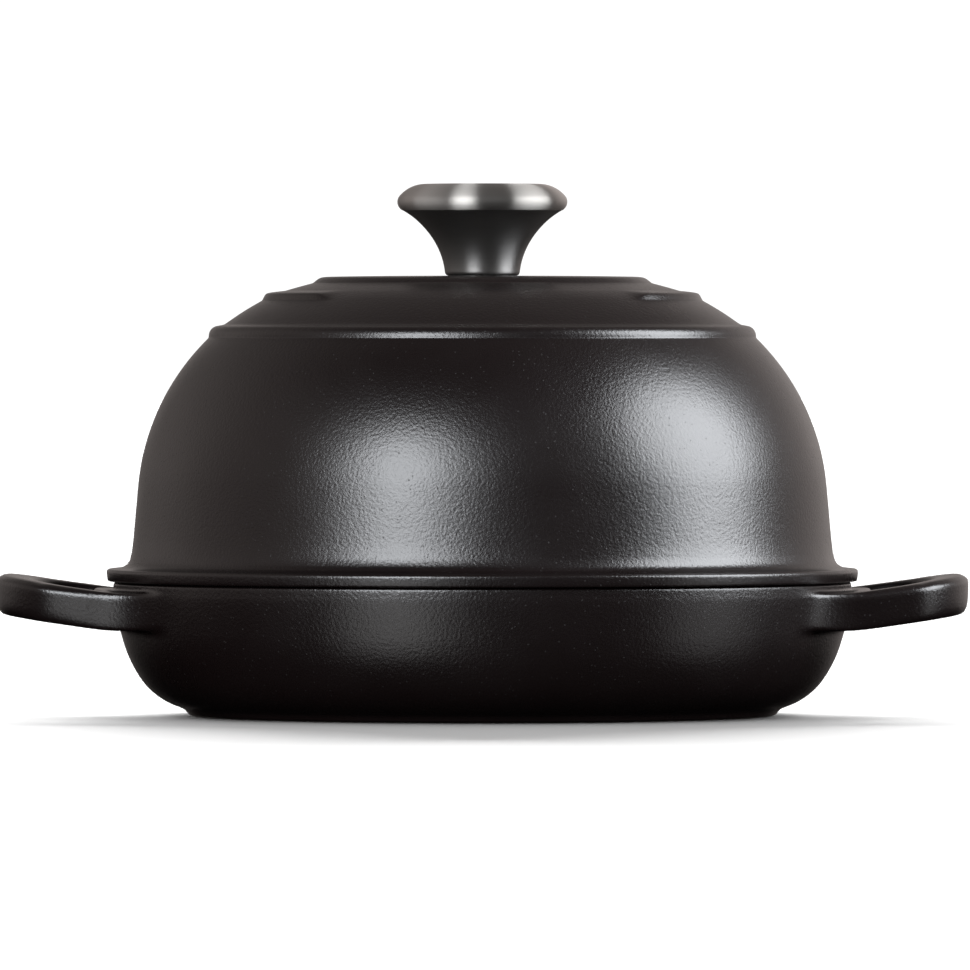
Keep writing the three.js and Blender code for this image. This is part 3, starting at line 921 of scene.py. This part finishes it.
for reach in (CROSS_HALF_WIDTH, CROSS_HALF_LENGTH):
    for direction in ((1, 0, 0), (-1, 0, 0), (0, 1, 0), (0, -1, 0)):
        flat = [f for f in screw_bm.faces if f.calc_center_median().z < FLAT_LIMIT]
        around = list({g for f in flat for g in f.verts[:] + f.edges[:]}) + flat
        bmesh.ops.bisect_plane(
            screw_bm, geom=around, dist=1e-4, plane_co=Vector(direction) * reach, plane_no=direction
        )
cross = [f for f in screw_bm.faces if f.calc_center_median().z < FLAT_LIMIT]
cross = [f for f in cross if in_cross(f.calc_center_median())]
verts, _ = pull(screw_bm, cross)
bmesh.ops.translate(screw_bm, verts=verts, vec=(0, 0, CROSS_DEPTH))
bmesh.ops.scale(screw_bm, verts=verts, vec=(CROSS_TAPER, CROSS_TAPER, 1))
screw = finished(screw_bm, "crown_screw", 0)

# %% Turn the flat washer
FLAT_WASHER = (9.0, 141.6, 142.8)  # outer radius, and heights of its two faces

flat_bm = start_outline()
rim, lower, upper = FLAT_WASHER
tip = draw(
    flat_bm,
    None,
    (HOLE_RADIUS, lower, 0.12),
    (rim, lower, 0.3),
    (rim, upper, 0.3),
    (HOLE_RADIUS, upper, 0.12),
)
flat_bm.edges.new((tip, flat_bm.verts[:][0]))
round_corners(flat_bm)
turn(flat_bm, SMALL_COLUMNS)
flat_washer = finished(flat_bm, "plain_washer", 0)

# %% [markdown]
# The spring washer is a ring cut through at a slant, with its two ends a hair apart in height. Its
# section is spun almost all the way round while it rises a little, both ends are closed, and their
# upper edges are turned to the slant.

# %% Wind the spring washer
SPRING_WASHER = (5.8, 139.78, 141.06)  # outer radius, and heights of its two faces where it starts
SPRING_OPENING = 12.0  # degrees
SPRING_SLANT = 9.0  # degrees round the ring, between the lower and the upper edge of a cut
SPRING_RISE = 0.16

spring_bm = start_outline()
rim, lower, upper = SPRING_WASHER
tip = draw(
    spring_bm,
    None,
    (HOLE_RADIUS, lower, 0.12),
    (rim, lower, 0.12),
    (rim, upper, 0.12),
    (HOLE_RADIUS, upper, 0.12),
)
spring_bm.edges.new((tip, spring_bm.verts[:][0]))
round_corners(spring_bm)
bmesh.ops.spin(
    spring_bm,
    geom=spring_bm.verts[:] + spring_bm.edges[:],
    cent=(0, 0, 0),
    axis=(0, 0, 1),
    dvec=(0, 0, SPRING_RISE / SMALL_COLUMNS),
    angle=math.radians(360 - SPRING_OPENING),
    steps=SMALL_COLUMNS,
)
half_opening = Matrix.Rotation(math.radians(SPRING_OPENING / 2), 3, "Z")
bmesh.ops.rotate(spring_bm, verts=spring_bm.verts, cent=(0, 0, 0), matrix=half_opening)
bmesh.ops.holes_fill(spring_bm, edges=[e for e in spring_bm.edges if e.is_boundary])
slant = Matrix.Rotation(math.radians(SPRING_SLANT), 3, "Z")
half_height = (lower + upper) / 2 + SPRING_RISE / 2
near_cut = [v for v in spring_bm.verts if abs(bearing(v.co)) < SPRING_OPENING]
bmesh.ops.rotate(
    spring_bm, verts=[v for v in near_cut if v.co.z > half_height], cent=(0, 0, 0), matrix=slant
)
bmesh.ops.recalc_face_normals(spring_bm, faces=spring_bm.faces)
spring = finished(spring_bm, "split_washer", 0)

# %% [markdown]
# ## Finishes
#
# The enamel is a thin coat of black glass fired on to rough iron, so it is satin rather than glossy,
# and its surface is pebbled like orange peel with bumps of about a millimetre. A smooth shader with
# only a high roughness would blur the soft boxes but lose the sparkle at their edges, so the bumps are
# real bump mapping: two layers of noise, and scattered pits where a bubble burst in the kiln. A slower
# noise shifts the roughness and the black from place to place.

# %% Tools for finishes


def new_finish(name):
    """A material with one Principled surface, and its nodes and links."""
    finish = bpy.data.materials.new(name)
    finish.use_nodes = True
    tree = finish.node_tree
    return finish, tree.nodes, tree.links, tree.nodes["Principled BSDF"]


def noise(nodes, links, coordinates, scale, detail, roughness):
    """A noise pattern that follows the given coordinates. Its scale is in repeats to the metre."""
    made = nodes.new("ShaderNodeTexNoise")
    made.inputs["Scale"].default_value = scale
    made.inputs["Detail"].default_value = detail
    made.inputs["Roughness"].default_value = roughness
    links.new(coordinates, made.inputs["Vector"])
    return made.outputs["Fac"]


def spread(nodes, links, value, low, high):
    """Stretches a 0 to 1 pattern to run from low to high."""
    made = nodes.new("ShaderNodeMapRange")
    made.inputs["From Min"].default_value = 0.3
    made.inputs["From Max"].default_value = 0.7
    made.inputs["To Min"].default_value = low
    made.inputs["To Max"].default_value = high
    links.new(value, made.inputs["Value"])
    return made.outputs["Result"]


def bump(nodes, links, value, depth, strength, below=None):
    """Raises the surface by a pattern, up to a depth in metres, on top of another bump."""
    made = nodes.new("ShaderNodeBump")
    made.inputs["Strength"].default_value = strength
    made.inputs["Distance"].default_value = depth
    links.new(value, made.inputs["Height"])
    if below is not None:
        links.new(below, made.inputs["Normal"])
    return made.outputs["Normal"]


print("finishes follow each piece's own coordinates, in metres")

# %% Black enamel
PEEL_SCALE = 980  # bumps of orange peel to the metre
PEEL_DEPTH = 0.00017
GRAIN_SCALE = 2400
GRAIN_DEPTH = 0.00006
PIT_SCALE = 430
PIT_DEPTH = 0.00003
PIT_EDGES = (0.05, 0.15)  # where a pit's floor ends and its wall ends, as shares of a cell
PIT_ROUGHNESS = 0.62  # the floor of a pit is matt
ENAMEL_ROUGHNESS = (0.27, 0.32)
CLOUD_SCALE = 28
WARM_BLACK = (0.0027, 0.0014, 0.0014)
PALER_BLACK = (0.0040, 0.0023, 0.0023)

enamel, nodes, links, surface = new_finish("satin_black_enamel")
where = nodes.new("ShaderNodeTexCoord").outputs["Object"]
peel = noise(nodes, links, where, PEEL_SCALE, 3.0, 0.55)
grain = noise(nodes, links, where, GRAIN_SCALE, 2.0, 0.5)
cloud = noise(nodes, links, where, CLOUD_SCALE, 3.0, 0.55)
pits = nodes.new("ShaderNodeTexVoronoi")
pits.inputs["Scale"].default_value = PIT_SCALE
links.new(where, pits.inputs["Vector"])
pit_floor = nodes.new("ShaderNodeMapRange")
pit_floor.interpolation_type = "SMOOTHSTEP"
pit_floor.inputs["From Min"].default_value, pit_floor.inputs["From Max"].default_value = PIT_EDGES
links.new(pits.outputs["Distance"], pit_floor.inputs["Value"])
pebbles = bump(nodes, links, peel, PEEL_DEPTH, 0.7)
pebbles = bump(nodes, links, grain, GRAIN_DEPTH, 0.4, pebbles)
pebbles = bump(nodes, links, pit_floor.outputs["Result"], PIT_DEPTH, 0.5, pebbles)
links.new(pebbles, surface.inputs["Normal"])
dull = nodes.new("ShaderNodeMix")
dull.inputs["A"].default_value = PIT_ROUGHNESS
links.new(pit_floor.outputs["Result"], dull.inputs["Factor"])
links.new(spread(nodes, links, cloud, *ENAMEL_ROUGHNESS), dull.inputs["B"])
links.new(dull.outputs["Result"], surface.inputs["Roughness"])
shade = nodes.new("ShaderNodeMix")
shade.data_type = "RGBA"
shade.inputs["A"].default_value = (*WARM_BLACK, 1)
shade.inputs["B"].default_value = (*PALER_BLACK, 1)
links.new(cloud, shade.inputs["Factor"])
links.new(shade.outputs["Result"], surface.inputs["Base Color"])
surface.inputs["Specular IOR Level"].default_value = 0.5
for casting in (base, lid):
    casting.data.materials.append(enamel)
print("enamel:", len(nodes), "nodes")

# %% [markdown]
# The knob was polished while it turned, so its steel carries fine scratches that run round the axis.
# Noise stretched into rings does that: the coordinates are squeezed to almost nothing round the knob
# and kept fine along it. Scratches that run round a surface smear highlights across them, which the
# shader's anisotropy does. The cap was brushed coarsely, and its highlights run right over the rim. The
# stem is finer, with only a soft gleam at its neck. Its steel is coloured darker than the cap's as
# painted shade, because the stem sits under the cap and mirrors the black lid.

# %% Tools for turned steel
SCRATCH_SCALE = 9000
SCRATCH_DEPTH = 0.00001
SMUDGE_SCALE = 60
SMUDGE = 0.012  # how far a smudge shifts the roughness


def round_the_axis(nodes, links, where):
    """Gives each place its distance from the axis and its height, for a pattern of rings."""
    flatten = nodes.new("ShaderNodeMapping")
    flatten.inputs["Scale"].default_value = (1, 1, 0)
    distance = nodes.new("ShaderNodeVectorMath")
    distance.operation = "LENGTH"
    parts = nodes.new("ShaderNodeSeparateXYZ")
    ring_place = nodes.new("ShaderNodeCombineXYZ")
    links.new(where, flatten.inputs["Vector"])
    links.new(flatten.outputs["Vector"], distance.inputs[0])
    links.new(where, parts.inputs["Vector"])
    links.new(distance.outputs["Value"], ring_place.inputs["X"])
    links.new(parts.outputs["Z"], ring_place.inputs["Z"])
    return ring_place.outputs["Vector"]


def along_the_scratches(nodes, links, where):
    """The direction that a tool scratches in: at right angles to the axis and to the radius."""
    across = nodes.new("ShaderNodeVectorMath")
    across.operation = "CROSS_PRODUCT"
    across.inputs[0].default_value = (0, 0, 1)
    brushing = nodes.new("ShaderNodeVectorTransform")
    brushing.vector_type = "VECTOR"
    brushing.convert_from = "OBJECT"
    brushing.convert_to = "WORLD"
    links.new(where, across.inputs[1])
    links.new(across.outputs["Vector"], brushing.inputs["Vector"])
    return brushing.outputs["Vector"]


def turned_steel(name, dull, smear, dark, light):
    """Steel with scratches round the axis. It is given its dullness, its smear and its two shades."""
    steel, nodes, links, surface = new_finish(name)
    where = nodes.new("ShaderNodeTexCoord").outputs["Object"]
    scratches = noise(nodes, links, round_the_axis(nodes, links, where), SCRATCH_SCALE, 3.0, 0.6)
    smudge = noise(nodes, links, where, SMUDGE_SCALE, 2.0, 0.5)
    links.new(bump(nodes, links, scratches, SCRATCH_DEPTH, 0.25), surface.inputs["Normal"])
    links.new(spread(nodes, links, smudge, dull - SMUDGE, dull + SMUDGE), surface.inputs["Roughness"])
    links.new(along_the_scratches(nodes, links, where), surface.inputs["Tangent"])
    surface.inputs["Anisotropic"].default_value = smear
    surface.inputs["Anisotropic Rotation"].default_value = 0.25  # highlights run across the scratches
    surface.inputs["Metallic"].default_value = 1.0
    shade = nodes.new("ShaderNodeMix")
    shade.data_type = "RGBA"
    shade.inputs["A"].default_value = (*dark, 1)
    shade.inputs["B"].default_value = (*light, 1)
    links.new(scratches, shade.inputs["Factor"])
    links.new(shade.outputs["Result"], surface.inputs["Base Color"])
    print(name, "has", len(nodes), "nodes")
    return steel


# %% Brushed cap, and satin stem with painted shade
brushed = turned_steel("brushed_cap_steel", 0.41, 1.0, (0.52, 0.51, 0.495), (0.64, 0.63, 0.615))
# Painted shade: the stem's two shades are darker than the cap's, standing in for the dark lid that it
# mirrors.
shaded_satin_stem = turned_steel("satin_stem_steel_painted_shade", 0.39, 0.2, (0.21, 0.205, 0.2), (0.29, 0.285, 0.28))
cap.data.materials.append(brushed)
stem.data.materials.append(shaded_satin_stem)

# %% [markdown]
# The screw, washers and bush are plain zinc-plated steel: duller, a little blue, with a mottled
# plating.

# %% Plated steel
MOTTLE_SCALE = 900
PLATING_SCALE = 6000
PLATING_DEPTH = 0.00001

plated, nodes, links, surface = new_finish("plated_fixing_steel")
where = nodes.new("ShaderNodeTexCoord").outputs["Object"]
mottle = noise(nodes, links, where, MOTTLE_SCALE, 3.0, 0.6)
fine = noise(nodes, links, where, PLATING_SCALE, 2.0, 0.5)
links.new(bump(nodes, links, fine, PLATING_DEPTH, 0.2), surface.inputs["Normal"])
links.new(spread(nodes, links, mottle, 0.3, 0.45), surface.inputs["Roughness"])
shade = nodes.new("ShaderNodeMix")
shade.data_type = "RGBA"
shade.inputs["A"].default_value = (0.42, 0.43, 0.44, 1)
shade.inputs["B"].default_value = (0.58, 0.59, 0.61, 1)
links.new(mottle, shade.inputs["Factor"])
links.new(shade.outputs["Result"], surface.inputs["Base Color"])
surface.inputs["Metallic"].default_value = 1.0
for part in (bush, screw, spring, flat_washer):
    part.data.materials.append(plated)
print("plated steel:", len(nodes), "nodes")

# %% [markdown]
# ## Putting the pieces on their bodies
#
# The solids that came in stay behind for the physics. Each new piece hides the solid that it stands
# for, moves with the same body, and is lit by the lamps linked to its finish.

# %% Ride, replace and light
for piece, node, body, finish in (
    (base, "base_pan", "base", "black_enamel"),
    (lid, "dome_lid", "lid", "black_enamel"),
    (stem, "knob_stem", "knob", "knob_steel"),
    (cap, "knob_cap", "knob", "knob_steel"),
    (bush, "knob_bush", "knob", "fixing_steel"),
    (screw, "knob_screw", "knob", "fixing_steel"),
    (spring, "spring_washer", "knob", "fixing_steel"),
    (flat_washer, "flat_washer", "knob", "fixing_steel"),
):
    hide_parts(node)
    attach(piece, body)
    (enamel_light if finish == "black_enamel" else steel_light).objects.link(piece)
    print(piece.name, "stands for", node, "on", body)
